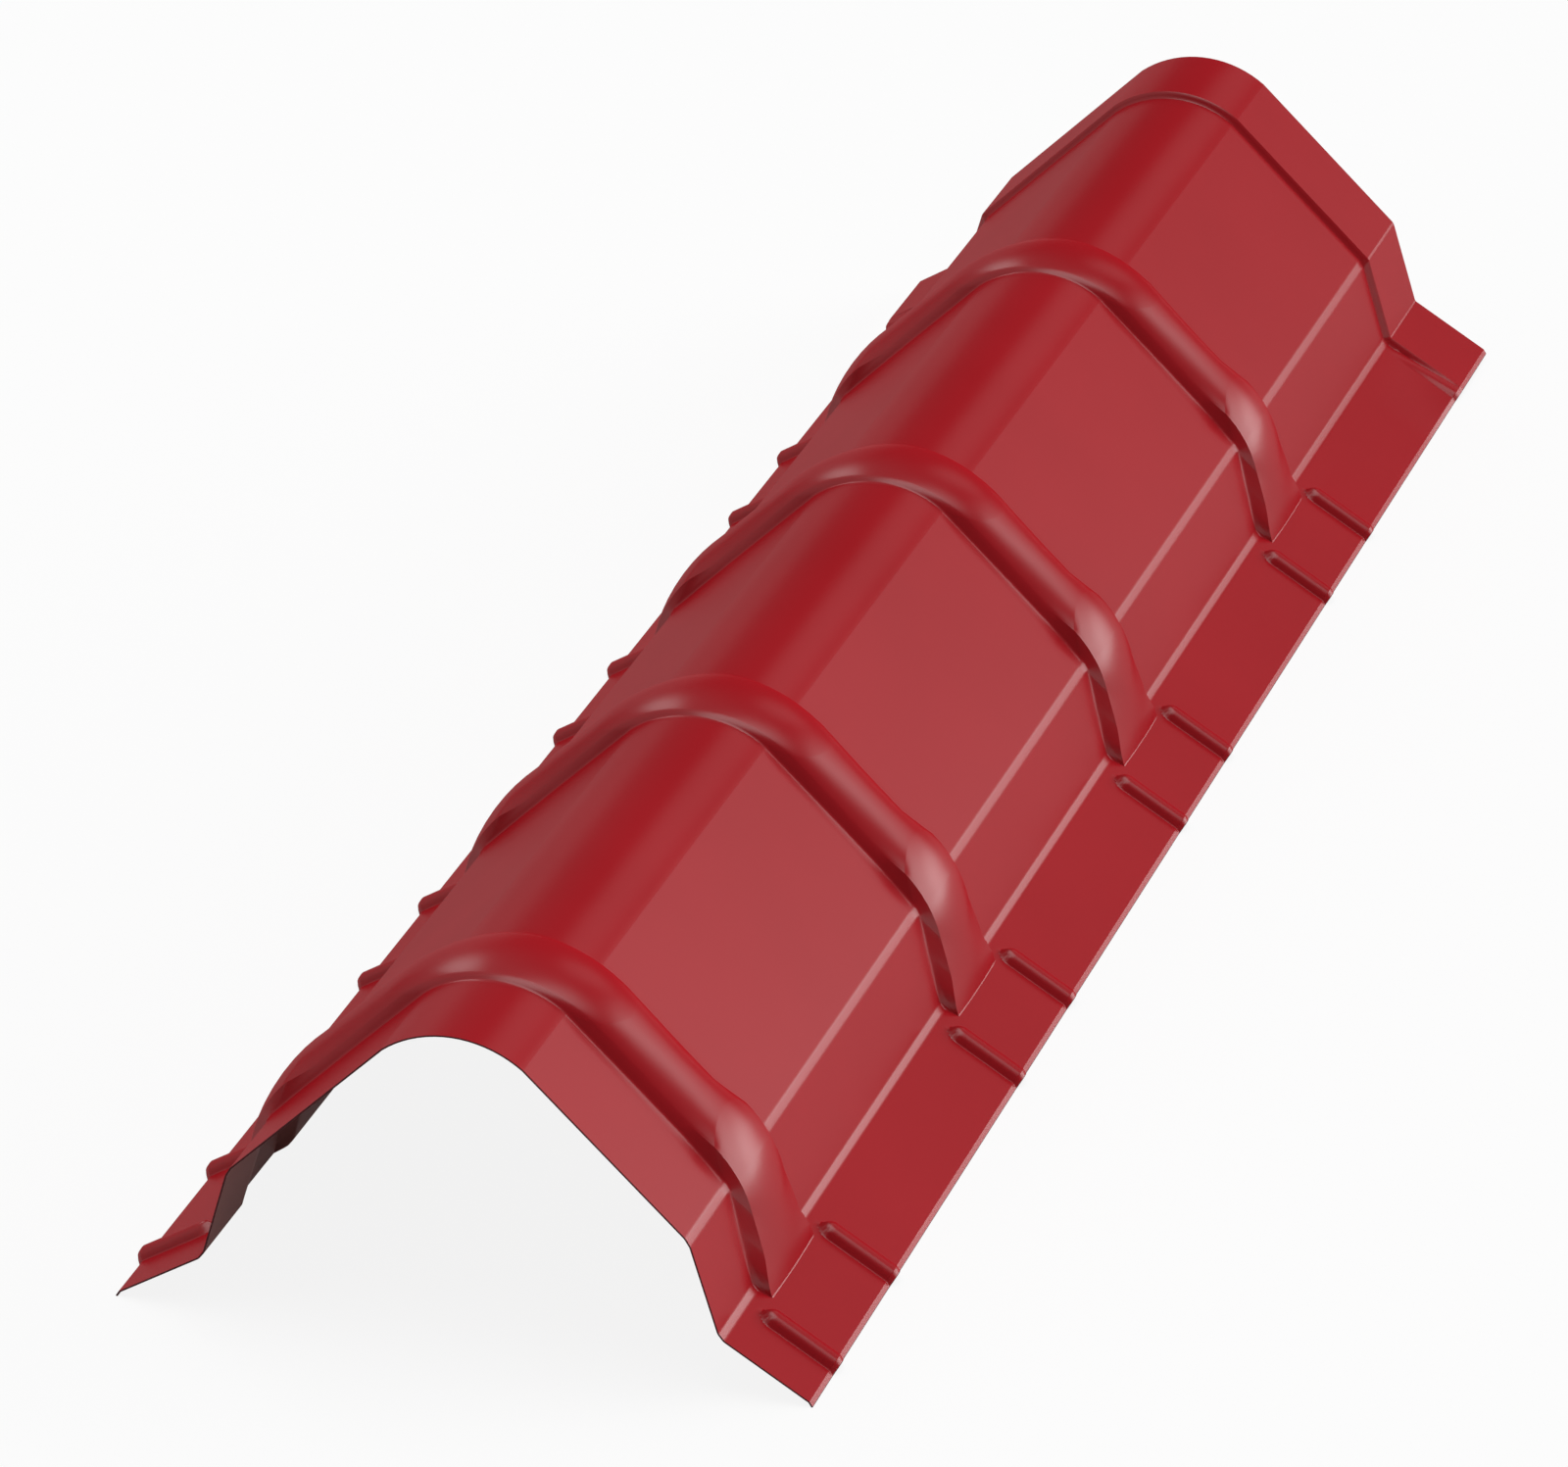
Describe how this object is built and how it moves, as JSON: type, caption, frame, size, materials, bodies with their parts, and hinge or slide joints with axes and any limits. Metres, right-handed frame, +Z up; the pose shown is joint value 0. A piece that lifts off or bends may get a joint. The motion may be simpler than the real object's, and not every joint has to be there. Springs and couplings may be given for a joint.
{
  "type": "roof ridge cap",
  "caption": "Pressed steel roof ridge cap: rounded crown, sloping flanks and skirts, side flanges with beads, cross ribs and a raised end that laps over the next cap.",
  "frame": {"origin": "middle of the length, on the centre line, at the level of the two lower lip edges", "axes": "+Y along the ridge towards the raised lap end, +X across to the right-hand flange, +Z up"},
  "size_m": [0.2902, 1.05, 0.1407],
  "materials": {
    "coated_sheet": "satin red coated steel"
  },
  "bodies": {
    "root": {"ridge_cap": "coated_sheet"}
  },
  "joints": []
}
